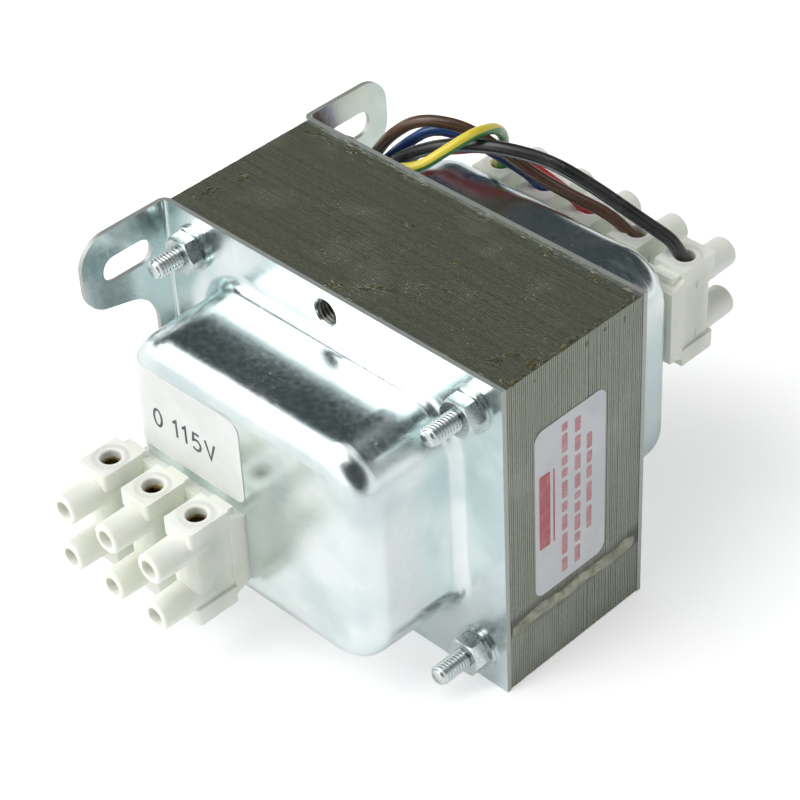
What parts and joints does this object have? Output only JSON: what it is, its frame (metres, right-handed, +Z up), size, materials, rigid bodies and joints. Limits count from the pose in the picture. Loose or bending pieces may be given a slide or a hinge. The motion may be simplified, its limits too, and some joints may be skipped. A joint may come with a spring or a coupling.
{
  "type": "autotransformer",
  "caption": "Shrouded autotransformer with a laminated core, two drawn end covers with slotted feet, screw terminal strips front and rear, and coloured leads.",
  "frame": {"origin": "under the middle of the core, on the plane that the core and both shrouds stand on", "axes": "+Z up, +X along the wide side of the core, away from the feet and towards the side with the paper label, +Y through the stack towards the shroud with the five-way strip"},
  "size_m": [0.0856, 0.1214, 0.0741],
  "materials": {
    "varnished_core_sheet": "satin",
    "weld_metal": "rough",
    "zinc_plated_sheet": "bright",
    "zinc_plated_fastener": "bright",
    "bobbin_plastic": "matte",
    "enamelled_copper": "gloss",
    "insulating_paper": "matte",
    "terminal_nylon": "satin",
    "terminal_brass": "satin",
    "tinned_tag": "satin",
    "grommet_rubber": "matte",
    "label_paper": "satin",
    "earth_insulation": "gloss",
    "blue_insulation": "gloss",
    "red_insulation": "gloss",
    "brown_insulation": "gloss",
    "black_insulation": "gloss"
  },
  "bodies": {
    "root": {"core_e_stack": "varnished_core_sheet", "core_i_stack": "varnished_core_sheet", "joint_weld_left": "weld_metal", "joint_weld_right": "weld_metal", "coil_bobbin": "bobbin_plastic", "common_winding": "enamelled_copper", "layer_insulation": "insulating_paper", "series_winding": "enamelled_copper", "coil_wrap": "insulating_paper", "front_shroud": "zinc_plated_sheet", "rear_shroud": "zinc_plated_sheet", "front_grommet": "grommet_rubber", "rear_grommet": "grommet_rubber", "clamp_bolt_1": "zinc_plated_fastener", "clamp_nut_1": "zinc_plated_fastener", "nut_washer_1": "zinc_plated_fastener", "head_washer_1": "zinc_plated_fastener", "clamp_bolt_2": "zinc_plated_fastener", "clamp_nut_2": "zinc_plated_fastener", "nut_washer_2": "zinc_plated_fastener", "head_washer_2": "zinc_plated_fastener", "clamp_bolt_3": "zinc_plated_fastener", "clamp_nut_3": "zinc_plated_fastener", "nut_washer_3": "zinc_plated_fastener", "head_washer_3": "zinc_plated_fastener", "clamp_bolt_4": "zinc_plated_fastener", "clamp_nut_4": "zinc_plated_fastener", "nut_washer_4": "zinc_plated_fastener", "head_washer_4": "zinc_plated_fastener", "front_terminal_housing": "terminal_nylon", "front_terminal_insert_1": "terminal_brass", "front_terminal_insert_2": "terminal_brass", "front_terminal_insert_3": "terminal_brass", "front_terminal_screws": "zinc_plated_fastener", "front_strip_screws": "zinc_plated_fastener", "rear_terminal_housing": "terminal_nylon", "rear_terminal_insert_1": "terminal_brass", "rear_terminal_insert_2": "terminal_brass", "rear_terminal_insert_3": "terminal_brass", "rear_terminal_insert_4": "terminal_brass", "rear_terminal_insert_5": "terminal_brass", "rear_terminal_screws": "zinc_plated_fastener", "rear_strip_screws": "zinc_plated_fastener", "earth_tag": "tinned_tag", "earth_lead": "earth_insulation", "blue_lead": "blue_insulation", "red_lead": "red_insulation", "brown_lead": "brown_insulation", "black_lead": "black_insulation", "front_lead_1": "black_insulation", "front_lead_2": "black_insulation", "front_label": "label_paper", "side_label": "label_paper"}
  },
  "joints": []
}
